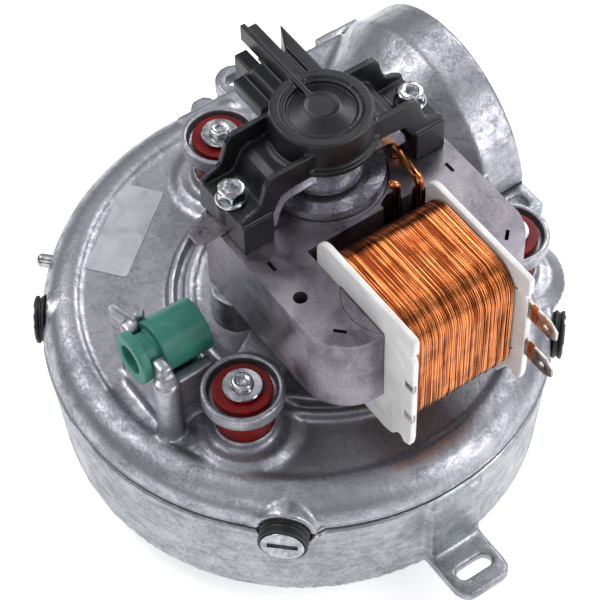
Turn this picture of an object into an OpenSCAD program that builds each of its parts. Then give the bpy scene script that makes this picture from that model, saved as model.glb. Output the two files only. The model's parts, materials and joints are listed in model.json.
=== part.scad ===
// Combustion fan for a gas boiler: die-cast scroll casing, centrifugal impeller
// and a shaded-pole motor standing on three rubber mounts.
// Millimetres. The shaft is the Z axis, the motor is on the +Z side, the
// outlet blows along +Y, and the coil of the motor is on the +X side.

/* [View] */
// piece to draw, or "all"

/* [Casing] */
// radius of the first, tightest part of the scroll
scroll_r = 71; // [66:0.5:80]
// growth of the radius from the first to the second part of the scroll
scroll_step = 7.5; // [4:0.5:12]
// height of the casing from the bottom face to the crest of the top plate
casing_h = 42.5; // [36:0.5:56]
// depth of the shallow dish in the top plate
dish = 1.2; // [0:0.1:2]
// inward draft of the lower wall from the joint to the bottom
draft = 2; // [0:0.1:4]
// wall thickness of both casing halves
wall = 2.6; // [2:0.1:4]
// rounding of the top shoulder
shoulder_r = 9; // [4:0.5:12]
// height of the joint between the two halves
parting_z = 33.6; // [28:0.1:38]
// width of the seal held in the joint, measured along the shaft
seal_h = 1.2; // [0.8:0.1:2]

/* [Outlet] */
// outside radius of the outlet collar
outlet_r = 37.5; // [28:0.5:42]
// distance of the outlet axis from the shaft, on the -X side
outlet_off = 41; // [36:0.5:46]
// height of the outlet axis
outlet_z = 28.5; // [22:0.5:34]
// end face of the collar
outlet_end = 74; // [70:0.5:90]
// length of the straight collar
collar_len = 13; // [6:0.5:20]
// distance between the two ear holes
ear_pitch = 83; // [78:0.5:90]
// radius of the ear holes
ear_hole_r = 2.8; // [2:0.1:4]

/* [Inlet] */
// radius of the inlet throat
inlet_r = 31; // [26:0.5:36]
// height of the inlet throat above the bottom face
inlet_h = 9.4; // [6:0.1:11]

/* [Impeller] */
// outside radius of the impeller
impeller_r = 55; // [50:0.5:58]
// inner radius of the blades
blade_in_r = 35; // [30:0.5:42]
// number of blades
blades = 20; // [12:1:28]
// lower edge of the blades
blade_z0 = 12; // [10:0.5:16]
// upper edge of the blades, where the back plate starts
blade_z1 = 29; // [24:0.5:32]

/* [Shaft] */
// radius of the shaft
shaft_r = 3; // [2.5:0.1:4]
// lower end of the shaft
shaft_z0 = 13; // [10:0.5:20]
// upper end of the shaft
shaft_z1 = 110; // [104:0.5:111]
// radial clearance in the bearings
run_gap = 0.03; // [0.02:0.01:0.1]

/* [Motor] */
// lower face of the lamination stack
lam_z0 = 65.8; // [62:0.1:70]
// height of the lamination stack
stack_h = 25; // [20:1:30]
// half width of the lamination stack
lam_y = 33.1; // [30:0.1:36]
// bore radius of the stator
bore_r = 17.3; // [15:0.1:20]
// outer radius of the rotor
rotor_r = 16.9; // [14:0.1:19]
// distance of the two long motor screws from the shaft
screw_y = 27.9; // [25:0.1:30]

/* [Mounting] */
// distance of the three rubber mounts from the shaft
eye_pitch_r = 50.4; // [45:0.1:56]
// outer radius of the eye ring
eye_r = 11; // [9:0.1:13]

/* [Hidden] */
$fn = 96;
cx = -2.8;
cy = -6.2;
by = cy + scroll_step;
r2 = scroll_r + scroll_step;
r3 = r2 + 2.3;
r0 = scroll_r - 3;
plate_z = casing_h - dish;
roof_z = plate_z - wall;
duct_x0 = -outlet_off - outlet_r + 1;
duct_x1 = -outlet_off + outlet_r - 1;
duct_y1 = outlet_end - 13;
lam_z1 = lam_z0 + stack_h;
eye_angles = [-60, 60, 180];
// direction from the shaft and outer wall radius at each clamp fastener
clamps = [[-43.6, 73.2], [-123.6, 76.4], [46.8, 62.4]];
clamp_z = parting_z - 1;
coil_x0 = 32.7;
coil_x1 = 51;
flange_y0 = 16.1;
flange_y1 = 17.9;
seat_z = plate_z + 4.6;
tap_x = 3.4;
tap_z = 64;

// ---------- casing shapes ----------

// half section of a round sector: drafted lower wall, rounded shoulder
module disc_profile(r, z0, z1, rt) {
    polygon([[0, z0], [r - draft, z0], [r, parting_z - 4], [r, z1 - rt],
        [r - rt, z1], [0, z1]]);
    intersection() {
        translate([r - rt, z1 - rt]) circle(rt);
        square([r, z1]);
    }
}

// scroll made of four arcs that meet tangentially
module scroll(t, z0, z1, rt) {
    intersection() {
        translate([cx + 3, cy, 0]) rotate_extrude() disc_profile(r0 - t, z0, z1, rt);
        translate([cx, cy, z0]) cube([150, 200, z1 - z0]);
    }
    intersection() {
        translate([cx, cy, 0]) rotate_extrude() disc_profile(scroll_r - t, z0, z1, rt);
        translate([cx, cy - 120, z0]) cube([150, 120, z1 - z0]);
    }
    intersection() {
        translate([cx, by, 0]) rotate_extrude() disc_profile(r2 - t, z0, z1, rt);
        translate([cx - 120, by - 120, z0]) cube([120, 120, z1 - z0]);
    }
    intersection() {
        translate([cx + 2.3, by, 0]) rotate_extrude() disc_profile(r3 - t, z0, z1, rt);
        translate([cx - 120, by, z0]) cube([120, duct_y1 - t - by, z1 - z0]);
    }
}

// straight box that leads from the scroll to the round collar
module duct(t, z0, z1) {
    translate([0, 2, 0]) intersection() {
        translate([duct_x0 + t, 0, z0])
            cube([duct_x1 - duct_x0 - 2 * t, duct_y1 - 2 - t, z1 - z0]);
        translate([-outlet_off, 0, outlet_z]) rotate([-90, 0, 0])
            cylinder(h = duct_y1 - 2 - t, r1 = 62 - t, r2 = 42.5 - t);
    }
}

// round collar and the cone that sinks into the scroll
module pipe(t, extra) {
    translate([-outlet_off, 18, outlet_z]) rotate([-90, 0, 0])
        cylinder(h = outlet_end - collar_len - 18, r1 = 11 - t, r2 = outlet_r - t);
    translate([-outlet_off, outlet_end - collar_len - 0.01, outlet_z])
        rotate([-90, 0, 0])
        cylinder(h = collar_len + 0.01 + extra, r = outlet_r - t);
}

module casing_outer() {
    scroll(0, 0, casing_h, shoulder_r);
    duct(0, 0, casing_h);
    pipe(0, 0);
}

module casing_inner() {
    scroll(wall, wall, roof_z, shoulder_r - wall);
    duct(wall, wall, roof_z);
    pipe(wall, 1);
}

module below(z) { translate([-150, -150, -60]) cube([300, 300, z + 60]); }
module above(z) { translate([-150, -150, z]) cube([300, 300, 100]); }

// round boss for one clamp fastener, along the local X axis
module clamp_boss(a, r) {
    rotate([0, 0, a]) translate([r - 5, 0, clamp_z]) rotate([0, 90, 0])
        cylinder(h = 5.6, r = 8.8);
}
module clamp_hole(a, r) {
    rotate([0, 0, a]) translate([r - 3.4, 0, clamp_z]) rotate([0, 90, 0])
        cylinder(h = 12, r = 6.8);
}

module stud_place() {
    rotate([0, 0, -136.6]) translate([77.8, 0, parting_z + 2.6]) rotate([0, 90, 0])
        children();
}

module at_eyes() {
    for (a = eye_angles) rotate([0, 0, a]) translate([eye_pitch_r, 0, 0]) children();
}

// ---------- casing pieces ----------

module tap_tower() {
    // upright wall with an open notch that holds the tap by its groove
    difference() {
        union() {
            translate([-6.4, -60.8, plate_z - 1]) cube([20.4, 3.8, 27]);
            // thin flaring blade beside the notch
            translate([-12.8, -60.2, 0]) rotate([0, 0, 20]) rotate([90, 0, 0])
                translate([0, 0, -1.5]) linear_extrude(1.5)
                    polygon([[3.2, plate_z - 1], [0.6, 55], [0, 66.4], [0.8, 67.4],
                        [8, 66.2], [8, plate_z - 1]]);
            translate([10.2, -60.8, plate_z - 1]) cube([3.8, 16, 19]);
            translate([-2, -55, plate_z - 1]) cube([12.4, 11, 13.4]);
            translate([14.6, -60, plate_z - 2]) cylinder(h = 25, r = 3.4);
            translate([-4.6, -55.6, plate_z - 1]) cylinder(h = 29.5, r = 1.7);
        }
        translate([tap_x, -70, tap_z]) rotate([-90, 0, 0]) cylinder(h = 14, r = 5.3);
        translate([tap_x - 5.3, -70, tap_z]) cube([10.6, 14, 20]);
        translate([tap_x, -57, tap_z]) rotate([-90, 0, 0]) cylinder(h = 20, r = 7.8);
        translate([tap_x, -49, 20]) cylinder(h = 60, r = 3.1);
    }
}

module upper_casing() {
    color([0.66, 0.66, 0.70])
    difference() {
        union() {
            intersection() {
                difference() {
                    union() {
                        casing_outer();
                        // lug beside the outlet
                        translate([-83.4, 26.4, parting_z]) cylinder(h = 4.9, r = 6.2);
                        translate([-83.4, 20.2, parting_z]) cube([8, 12.4, 4.9]);
                        translate([-78.6, 12.4, parting_z]) cylinder(h = 5.4, r = 4.4);
                    }
                    casing_inner();
                    // shallow dish of the top plate
                    difference() {
                        scroll(10.8, plate_z, casing_h + 1, 0.5);
                        pipe(0, 0);
                    }
                }
                above(parting_z);
            }
            intersection() {
                for (c = clamps) clamp_boss(c[0], c[1]);
                above(parting_z);
            }
            // hub with two low ridges
            translate([0, 0, plate_z - 0.5]) difference() {
                cylinder(h = 3.4, r = 43.4);
                translate([0, 0, 0.5]) cylinder(h = 4, r = 41.2);
            }
            translate([0, 0, plate_z - 1]) cylinder(h = 4.6, r = 39);
            // seats of the rubber mounts and their screw bosses
            at_eyes() {
                translate([0, 0, plate_z - 6]) cylinder(h = 7, r = 5.4);
                translate([0, 0, plate_z - 1]) cylinder(h = 3.2, r1 = 17, r2 = 12.5);
                translate([0, 0, plate_z - 1]) cylinder(h = 5.6, r = 8.5);
                difference() {
                    translate([0, 0, plate_z + 4]) cylinder(h = 1.6, r = 8.5);
                    translate([0, 0, plate_z + 3]) cylinder(h = 6, r = 7.8);
                }
            }
            tap_tower();
            translate([-71.9, 16.4, plate_z - 1]) cylinder(h = 3, r = 1.9);
        }
        // shaft passage and recess in the hub
        translate([0, 0, 20]) cylinder(h = 40, r = 8);
        translate([0, 0, plate_z + 2.4]) cylinder(h = 4, r = 36);
        at_eyes() translate([0, 0, plate_z - 4.5]) cylinder(h = 20, r = 2.05);
        for (c = clamps) clamp_hole(c[0], c[1]);
        translate([-83.4, 26.4, 30]) cylinder(h = 20, r = 2.7);
        translate([tap_x, -49, 20]) cylinder(h = 40, r = 3.1);
        stud_place() cylinder(h = 8, r = 2);
    }
}

module foot() {
    // slotted foot and the flat pad that carries it
    difference() {
        union() {
            translate([62, -14.5, 2.4]) cube([18.4, 17, 3.6]);
            translate([80.2, -10.1, 2.4]) cube([4.6, 8.2, 3.6]);
            translate([80.4, -10.1, 2.4]) cylinder(h = 3.6, r = 4.4);
            translate([80.4, -1.9, 2.4]) cylinder(h = 3.6, r = 4.4);
            translate([62, -14.5, 2.4]) cube([7.4, 17, 27.2]);
        }
        translate([77.7, -9.4, -1]) cylinder(h = 10, r = 2.2);
        translate([77.7, -2.6, -1]) cylinder(h = 10, r = 2.2);
        translate([75.5, -9.4, -1]) cube([4.4, 6.8, 10]);
        casing_inner();
    }
}

module ears() {
    difference() {
        for (s = [-1, 1]) {
            translate([-outlet_off + s * ear_pitch / 2, 0, parting_z - seal_h - 5]) {
                translate([-5.2, outlet_end - 16, 0]) cube([10.4, 16, 5]);
                translate([s > 0 ? -16 : 0, outlet_end - 16, 0]) cube([16, 16, 5]);
            }
        }
        for (s = [-1, 1])
            translate([-outlet_off + s * ear_pitch / 2, outlet_end - 5.6, 0])
                cylinder(h = 60, r = ear_hole_r);
        casing_inner();
    }
}

module lower_casing() {
    color([0.72, 0.73, 0.76])
    difference() {
        union() {
            intersection() {
                difference() {
                    casing_outer();
                    casing_inner();
                }
                below(parting_z - seal_h);
            }
            intersection() {
                for (c = clamps) clamp_boss(c[0], c[1]);
                below(parting_z - seal_h);
            }
            foot();
            ears();
            // inlet bell mouth
            rotate_extrude() difference() {
                translate([inlet_r, 0]) square([8, inlet_h]);
                translate([inlet_r + 8 + wall, inlet_h - 1]) circle(8);
            }
        }
        rotate_extrude() {
            square([inlet_r, 30]);
            difference() {
                translate([0, -1]) square([inlet_r + 4, 5]);
                translate([inlet_r + 4, 4]) circle(4);
            }
        }
        for (c = clamps) clamp_hole(c[0], c[1]);
    }
}

module casing_seal() {
    color([0.10, 0.10, 0.11])
    difference() {
        intersection() {
            union() {
                scroll(0.9, 0, casing_h, shoulder_r);
                duct(0.9, 0, casing_h);
                pipe(0.9, 0);
            }
            translate([-150, -150, parting_z - seal_h]) cube([300, 300, seal_h]);
        }
        casing_inner();
        for (c = clamps) rotate([0, 0, c[0]])
            translate([c[1] - 7, -8.9, parting_z - 5]) cube([14, 17.8, 10]);
    }
}

module clamp_rubbers() {
    color([0.06, 0.06, 0.07])
    for (c = clamps) rotate([0, 0, c[0]])
        translate([c[1] - 3.3, 0, clamp_z]) rotate([0, 90, 0]) difference() {
            cylinder(h = 7.4, r = 6.7);
            translate([0, 0, -1]) cylinder(h = 9, r = 4.1);
            translate([0, 0, 6.2]) cylinder(h = 3, r = 5.85);
            for (h = [3.8, 5.6]) translate([0, 0, h]) difference() {
                cylinder(h = 0.8, r = 8);
                translate([0, 0, -1]) cylinder(h = 3, r = 6.1);
            }
        }
}

module clamp_heads() {
    color([0.85, 0.86, 0.88])
    for (c = clamps) rotate([0, 0, c[0]])
        translate([c[1] - 3.3, 0, clamp_z]) rotate([0, 90, 0]) difference() {
            union() {
                cylinder(h = 6.6, r = 4.05);
                translate([0, 0, 6.25]) cylinder(h = 1.5, r = 5.8);
            }
            translate([-1, -4.1, 6.3]) cube([2, 8.2, 3]);
        }
}

module rim_stud() {
    color([0.85, 0.86, 0.88])
    stud_place() {
        cylinder(h = 4.2, r = 2);
        translate([0, 0, 4.1]) cylinder(h = 0.8, r1 = 2, r2 = 1.4);
    }
}

module pressure_tap() {
    color([0.25, 0.55, 0.47])
    difference() {
        union() {
            translate([tap_x, -63.8, tap_z]) rotate([-90, 0, 0]) cylinder(h = 2.9, r = 7.2);
            translate([tap_x, -63, tap_z]) rotate([-90, 0, 0]) cylinder(h = 8, r = 5.2);
            translate([tap_x, -56.9, tap_z]) rotate([-90, 0, 0]) cylinder(h = 14, r = 7.6);
            translate([tap_x, -49, 46]) cylinder(h = 14, r = 3);
        }
        translate([tap_x, -66, tap_z]) rotate([-90, 0, 0]) cylinder(h = 18, r = 4.2);
        translate([tap_x, -49, 40]) cylinder(h = 24, r = 1.6);
    }
}

module plate_label() {
    color([0.80, 0.81, 0.82])
    translate([-51, -33, plate_z]) rotate([0, 0, -51.8])
        translate([-16.2, -6.2, 0]) cube([32.4, 12.4, 0.2]);
}

module shaft_seal() {
    color([0.55, 0.18, 0.14])
    translate([0, 0, plate_z + 2.4]) difference() {
        cylinder(h = 1.8, r = 13);
        translate([0, 0, -1]) cylinder(h = 5, r = shaft_r + 0.25);
    }
}

// ---------- motor pieces on the casing ----------

module motor_bracket() {
    color([0.64, 0.64, 0.68])
    difference() {
        union() {
            translate([0, 0, 55]) cylinder(h = 5, r = 24);
            translate([0, 0, 49]) cylinder(h = 12, r = 9.5);
            for (a = eye_angles) rotate([0, 0, a]) {
                translate([0, -6.5, 55]) cube([eye_pitch_r - 9.6, 13, 4.4]);
                translate([eye_pitch_r, 0, 56]) cylinder(h = 4.5, r = eye_r);
            }
            for (s = [-1, 1]) {
                translate([0, s * screw_y, 54]) cylinder(h = lam_z0 - 54, r = 7.4);
                translate([-6, s * 24 - 8, 55]) cube([12, 16, 5]);
            }
        }
        translate([0, 0, 40]) cylinder(h = 40, r = 4);
        translate([0, 0, 51]) cylinder(h = 12, r = 6.05);
        for (a = eye_angles) rotate([0, 0, a]) translate([eye_pitch_r, 0, 0]) {
            translate([0, 0, 57.2]) cylinder(h = 9, r = 9.4);
            translate([0, 0, 40]) cylinder(h = 20, r = 5.6);
        }
        for (s = [-1, 1])
            translate([0, s * screw_y, 50]) cylinder(h = 30, r = 2.05);
    }
}

module mount_rubbers() {
    color([0.68, 0.12, 0.10])
    at_eyes() difference() {
        union() {
            translate([0, 0, seat_z]) cylinder(h = 55.9 - seat_z, r = 7.6);
            translate([0, 0, 55]) cylinder(h = 3, r = 5.5);
            translate([0, 0, 57.3]) cylinder(h = 2.7, r = 8);
        }
        translate([0, 0, 30]) cylinder(h = 40, r = 3.45);
    }
}

module mount_sleeves() {
    color([0.70, 0.71, 0.74])
    at_eyes() translate([0, 0, seat_z]) difference() {
        cylinder(h = 60.6 - seat_z, r = 3.4);
        translate([0, 0, -1]) cylinder(h = 30, r = 2.2);
    }
}

module mount_screws() {
    color([0.80, 0.81, 0.83])
    at_eyes() difference() {
        union() {
            translate([0, 0, plate_z - 3.5]) cylinder(h = 65 - plate_z, r = 2);
            translate([0, 0, 60.6]) cylinder(h = 1.1, r = 5.3);
            translate([0, 0, 61.6]) cylinder(h = 2, r = 3);
        }
        translate([0, 0, 62.3]) cylinder(h = 4, r = 1.6, $fn = 6);
    }
}

module lower_bearing() {
    color([0.72, 0.55, 0.30])
    translate([0, 0, 51]) difference() {
        cylinder(h = 8, r = 6);
        translate([0, 0, -1]) cylinder(h = 12, r = shaft_r + run_gap);
    }
}

module bearing_clip() {
    color([0.62, 0.63, 0.66])
    translate([0, 0, 59]) difference() {
        cylinder(h = 0.6, r = 6);
        translate([0, 0, -1]) cylinder(h = 4, r = 3.8);
        for (k = [0 : 2]) rotate([0, 0, k * 120])
            translate([4.8, 0, -1]) cylinder(h = 4, r = 0.6);
    }
}

module frame_outline() {
    // outline of one stator sheet
    difference() {
        union() {
            polygon([[-5.5, -lam_y], [40, -lam_y], [40, lam_y], [-5.5, lam_y],
                [-25, 14], [-25, -14]]);
            for (s = [-1, 1]) intersection() {
                translate([38, s * (lam_y - 13.2)]) circle(13.2);
                translate([38, s > 0 ? 0 : -lam_y]) square([20, lam_y]);
            }
            translate([39, -lam_y + 13.2]) square([12.2, lam_y - 13.2 + 20]);
        }
        circle(bore_r);
        // window of the coil
        translate([18.6, -18]) square([60, 36]);
        // rounded seats of the coil core
        for (s = [-1, 1]) translate([coil_x0 / 2 + coil_x1 / 2, s * 8.9]) circle(12.75);
        // holes of the shading rings, two on each pole
        for (a = [0, 180]) rotate([0, 0, a]) {
            translate([5.8, 18.9]) circle(1.4);
            translate([19.1, 16.9]) circle(1.9);
            polygon([[20, 5.9], [17.1, 6], [16.2, 7.4], [15.3, 9.3], [15.3, 11.9], [20, 11.9]]);
        }
        for (s = [-1, 1]) translate([0, s * screw_y]) circle(2.2);
        translate([29.7, -27.9]) circle(1.9);
    }
}

module stator_laminations() {
    color([0.52, 0.52, 0.56])
    difference() {
        translate([0, 0, lam_z0]) linear_extrude(stack_h) frame_outline();
        // dimples that lock the sheets together
        for (s = [-1, 1]) {
            translate([17.4, s * 28, lam_z1]) cube([3.4, 1, 0.8], center = true);
            translate([43.9, s * 26, lam_z1]) rotate([0, 0, -s * 45])
                cube([3.4, 1, 0.8], center = true);
        }
    }
}

module coil_core() {
    color([0.50, 0.50, 0.54])
    translate([0, 0, lam_z0]) linear_extrude(stack_h) intersection() {
        translate([coil_x0, -25]) square([coil_x1 - coil_x0, 50]);
        union() {
            translate([coil_x0, -14]) square([coil_x1 - coil_x0, 28]);
            for (s = [-1, 1]) translate([coil_x0 / 2 + coil_x1 / 2, s * 8.9]) circle(12.6);
        }
    }
}

// one flange of the bobbin, drawn as height over the length
module flange_shape(front, tip) {
    polygon([[22.5, 58], [22.5, 96], [27.5, 100.4], [front - 0.6, 100.4],
        [front, 99.8], [front, 94.6], [front - 1.2, 93.2], [front, 91.4],
        [front, tip + 3], [front - 0.6, tip], [front - 3, tip - 1.2],
        [front - 4.2, tip + 0.4], [front - 5.6, tip], [55.2, 53], [52.4, 52],
        [33, 52], [30, 54], [26, 56.6]]);
    translate([27.5, 95.4]) circle(5);
}

module coil_bobbin() {
    color([0.92, 0.91, 0.88])
    difference() {
        union() {
            translate([coil_x0 - 1.5, -flange_y1, lam_z0 - 1.5])
                cube([coil_x1 - coil_x0 + 3, 2 * flange_y1, stack_h + 3]);
            translate([0, flange_y1, 0]) rotate([90, 0, 0])
                linear_extrude(flange_y1 - flange_y0) flange_shape(64.6, 59.4);
            translate([0, -flange_y0, 0]) rotate([90, 0, 0])
                linear_extrude(flange_y1 - flange_y0) flange_shape(63, 56);
        }
        translate([coil_x0 - 0.15, -30, lam_z0 - 0.15])
            cube([coil_x1 - coil_x0 + 0.3, 60, stack_h + 0.3]);
        // slots of the tabs, and small unused sockets on the near flange
        for (z = [73.3, 88.7]) translate([56, 16.55, z - 3.2]) cube([9, 0.9, 6.4]);
        for (z = [67.7, 80.3]) translate([59.6, -18, z - 1.5]) cube([4, 1.3, 3]);
    }
}

module winding_shape(x0, x1, z0, z1, r) {
    translate([x0 + r, z0]) square([x1 - x0 - 2 * r, z1 - z0]);
    translate([x0, z0 + r]) square([x1 - x0, z1 - z0 - 2 * r]);
    for (x = [x0 + r, x1 - r], z = [z0 + r, z1 - r]) translate([x, z]) circle(r);
}

module coil_winding() {
    color([0.72, 0.38, 0.15])
    translate([0, flange_y0 - 0.1, 0]) rotate([90, 0, 0])
        linear_extrude(2 * flange_y0 - 0.2) difference() {
            winding_shape(24.6, 60.4, 57.6, 99.2, 9);
            translate([coil_x0 - 1.6, lam_z0 - 1.6])
                square([coil_x1 - coil_x0 + 3.2, stack_h + 3.2]);
        }
}

module coil_terminals() {
    color([0.78, 0.76, 0.70])
    for (z = [73.3, 88.7]) difference() {
        union() {
            translate([56.2, 16.6, z - 3.15]) cube([17, 0.8, 6.3]);
            translate([73.2, 16.6, z - 2.2]) cube([2, 0.8, 4.4]);
        }
        translate([71.4, 15, z]) rotate([-90, 0, 0]) cylinder(h = 4, r = 0.9);
    }
}

module coil_leads() {
    color([0.72, 0.38, 0.15])
    for (z = [75.7, 91.1]) {
        translate([57.6, 18.35, z]) rotate([0, 90, 0]) cylinder(h = 8, r = 0.35);
        for (k = [0 : 2]) translate([66 + k * 0.8, 15.9, z - 6]) difference() {
            cube([0.6, 2.2, 7.2]);
            translate([-1, 0.65, 0.4]) cube([3, 0.9, 6.4]);
        }
    }
}

// one shading ring: two upright bars joined by a cross bar at each end
module shading_ring(x0, y0, x1, y1, e) {
    l = sqrt((x1 - x0) * (x1 - x0) + (y1 - y0) * (y1 - y0));
    a = atan2(y1 - y0, x1 - x0);
    for (p = [[x0, y0], [x1, y1]])
        translate([p[0], p[1], lam_z0 - e - 0.8]) cylinder(h = stack_h + 2 * e + 1.6, r = 1.15);
    for (z = [lam_z0 - e, lam_z1 + e])
        translate([x0, y0, z]) rotate([0, 0, a]) rotate([0, 90, 0])
            cylinder(h = l, r = 0.95);
}

// bar in the notch of the pole, with its ends turned in
module shading_hook(x, y, e) {
    translate([x, y, lam_z0 - 4.5]) cylinder(h = stack_h + e + 5.3, r = 1.15);
    for (z = [lam_z0 - 3.7, lam_z1 + e])
        translate([x, y, z]) rotate([0, 0, -126]) rotate([0, 90, 0])
            cylinder(h = 2.3, r = 0.95);
}

module shading_rings() {
    color([0.75, 0.40, 0.18])
    for (a = [0, 180]) rotate([0, 0, a]) {
        shading_ring(5.8, 18.9, 19.2, 16.9, 3.9);
        shading_hook(18.1, 10.3, 6);
    }
}

module earth_tab() {
    color([0.70, 0.70, 0.70])
    translate([0, 0, lam_z1]) difference() {
        union() {
            translate([0, -screw_y, 0]) cylinder(h = 0.8, r = 4.4);
            translate([-4.5, -38.6, 0]) cube([6.3, 10.7, 0.8]);
            translate([-3.7, -39.6, 0]) cube([4.7, 1.1, 0.8]);
        }
        translate([0, -screw_y, -1]) cylinder(h = 3, r = 2.2);
        translate([-1.35, -36.4, -1]) cylinder(h = 3, r = 0.85);
    }
}

module bearing_bridge() {
    color([0.76, 0.76, 0.80])
    difference() {
        union() {
            // arch that spans the rotor from one screw to the other
            translate([8, 0, 0]) rotate([90, 0, -90]) linear_extrude(16)
                polygon([[-30, 91.6], [-30, 93.8], [-22.2, 93.8], [-21.6, 96],
                    [-20.6, 100], [-18.8, 103], [-16.5, 104.5], [16.5, 104.5],
                    [18.8, 103], [20.6, 100], [21.6, 96], [22.2, 93.8], [30, 93.8],
                    [30, 91.6], [19.6, 91.6], [19.2, 93], [18.4, 96], [16.8, 98.6],
                    [15, 99.4], [-15, 99.4], [-16.8, 98.6], [-18.4, 96], [-19.2, 93],
                    [-19.6, 91.6]]);
            translate([0, 0, 94.6]) cylinder(h = 8.7, r = 10.8);
            translate([0, 0, 97]) cylinder(h = 9, r = 8.4);
            translate([-4.4, 23.6, lam_z1]) cube([8.8, 6.2, 2]);
        }
        translate([0, 0, 90]) cylinder(h = 30, r = 4);
        translate([0, 0, 98.2]) cylinder(h = 30, r = 6.05);
        translate([0, 0, 90]) cylinder(h = 7.2, r = 6.5);
        for (s = [-1, 1]) translate([0, s * screw_y, 80]) cylinder(h = 30, r = 2.2);
        // room for the outer shading rings
        for (a = [0, 180]) rotate([0, 0, a]) translate([3.2, 13, 89]) cube([8, 11, 7.3]);
    }
}

module upper_bearing() {
    color([0.72, 0.55, 0.30])
    translate([0, 0, 98.2]) difference() {
        cylinder(h = 7.6, r = 6);
        translate([0, 0, -1]) cylinder(h = 12, r = shaft_r + run_gap);
    }
}

// side wall of one arm and its end block, drawn as height over Y
module cover_wall() {
    polygon([[0, 105.4], [14.4, 105.4], [19.7, 104.6], [21.3, 102.6], [22.3, 99],
        [22.3, 91.6], [31.4, 91.6], [31.4, 101.6], [29.4, 102.9], [27, 103.6], [25.6, 104.8],
        [24.5, 108], [23.8, 111], [22.4, 112.7], [20.4, 113.1], [0, 113.1]]);
}

// floor of the arm, which steps down to the seat of the screw
module cover_floor() {
    polygon([[8, 105.4], [18.4, 105.4], [22.2, 98.8], [31.4, 98.8], [31.4, 100.5],
        [23.2, 100.5], [22, 101.6], [19.8, 106.2], [17.6, 107.4], [8, 107.4]]);
}

module cover_arm() {
    for (x = [-9.3, 8.2]) translate([x, 0, 0]) rotate([90, 0, 90])
        linear_extrude(1.5) cover_wall();
    translate([-9.2, 0, 0]) rotate([90, 0, 90]) linear_extrude(18.8) cover_floor();
    difference() {
        translate([-9.8, 22.3, 90.9]) cube([20.4, 9.1, 9.6]);
        translate([-7.8, 23.5, 90]) cube([16, 6.7, 8.9]);
    }
    translate([0, screw_y, 94]) cylinder(h = 5.5, r = 4.2);
}

module sensor_cover() {
    color([0.07, 0.07, 0.08])
    difference() {
        union() {
            // cap over the bearing, with a ringed top and a skirt
            rotate_extrude() polygon([[0, 104.8], [11.8, 104.8], [11.8, 106.2],
                [14.6, 106.2], [14.6, 107.8], [13.3, 107.8], [13.3, 116.2],
                [13, 116.5], [10.6, 116.5], [10.6, 115.7], [9.9, 115.7], [9.9, 116.3],
                [9.2, 116.3], [9.1, 114.9], [5, 117], [4.6, 117.2], [4.2, 117.2],
                [4.1, 116.9], [0, 116.9]]);
            cover_arm();
            mirror([0, 1, 0]) cover_arm();
            // connector body, key bar with its rib, guides and latch
            translate([-24.5, -5, 103.6]) cube([15, 14.6, 8.9]);
            translate([-35, -0.2, 110.8]) cube([26, 4.3, 4.4]);
            translate([-35, -1, 112]) cube([30.4, 1.6, 5.2]);
            translate([-32.3, -5, 104]) cube([8.3, 3.9, 7]);
            translate([0, 0, 104]) linear_extrude(9.4)
                polygon([[-32.6, 9.8], [-31.6, 9.8], [-12, 9.6], [-12, 6.2], [-25.6, 6.2]]);
            translate([-27.4, -8.8, 104]) cube([13, 4, 4]);
        }
        // room for the bearing and the sensor
        translate([0, 0, 90]) cylinder(h = 22.6, r = 10.6);
        translate([-19.2, -3.6, 105.2]) cube([13, 9.2, 6]);
        // contact chamber
        translate([-40, -3.6, 105.4]) cube([21.5, 11.9, 4.4]);
        for (s = [-1, 1]) {
            // pocket over the foot of the bridge, and the screw hole
            translate([-8.1, s > 0 ? 18 : -30.1, 90]) cube([17.2, 12.1, 4]);
            translate([0, s * screw_y, 90]) cylinder(h = 20, r = 2.2);
        }
        translate([-8, -40, 90]) cube([12, 12, 1.65]);
    }
}

module sensor_board() {
    color([0.10, 0.32, 0.20])
    translate([-19, -3.4, 109.9]) cube([12.6, 8.8, 1.2]);
}

module sensor_chip() {
    color([0.08, 0.08, 0.09])
    translate([-9, -2, 106.7]) cube([1.6, 4, 3.1]);
}

module connector_pins() {
    color([0.85, 0.80, 0.60])
    for (y = [-1.6, 1.2, 4]) {
        translate([-30, y - 0.4, 107.2]) cube([12.4, 0.8, 0.8]);
        translate([-18.4, y - 0.4, 107.2]) cube([0.8, 0.8, 2.6]);
    }
}

module motor_screws() {
    color([0.82, 0.83, 0.85])
    for (s = [-1, 1]) translate([0, s * screw_y, 0]) difference() {
        union() {
            translate([0, 0, 55]) cylinder(h = 46, r = 2);
            translate([0, 0, 100.55]) cylinder(h = 1.2, r = 4.3);
            translate([0, 0, 101.7]) cylinder(h = 3.3, r = 3.9, $fn = 6);
        }
        translate([0, 0, 103.2]) cylinder(h = 4, r = 2);
    }
}

// ---------- rotating pieces ----------

module shaft() {
    color([0.78, 0.79, 0.82])
    union() {
        translate([0, 0, shaft_z0]) cylinder(h = shaft_z1 - shaft_z0, r = shaft_r);
    }
}

module rotor_core() {
    color([0.45, 0.45, 0.48])
    translate([0, 0, lam_z0 + 0.4]) difference() {
        cylinder(h = stack_h - 0.8, r = rotor_r);
        translate([0, 0, -1]) cylinder(h = stack_h + 2, r = shaft_r);
        for (k = [0 : 15]) rotate([0, 0, k * 22.5])
            translate([14.4, 0, -1]) cylinder(h = stack_h + 2, r = 1.5);
    }
}

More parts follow.
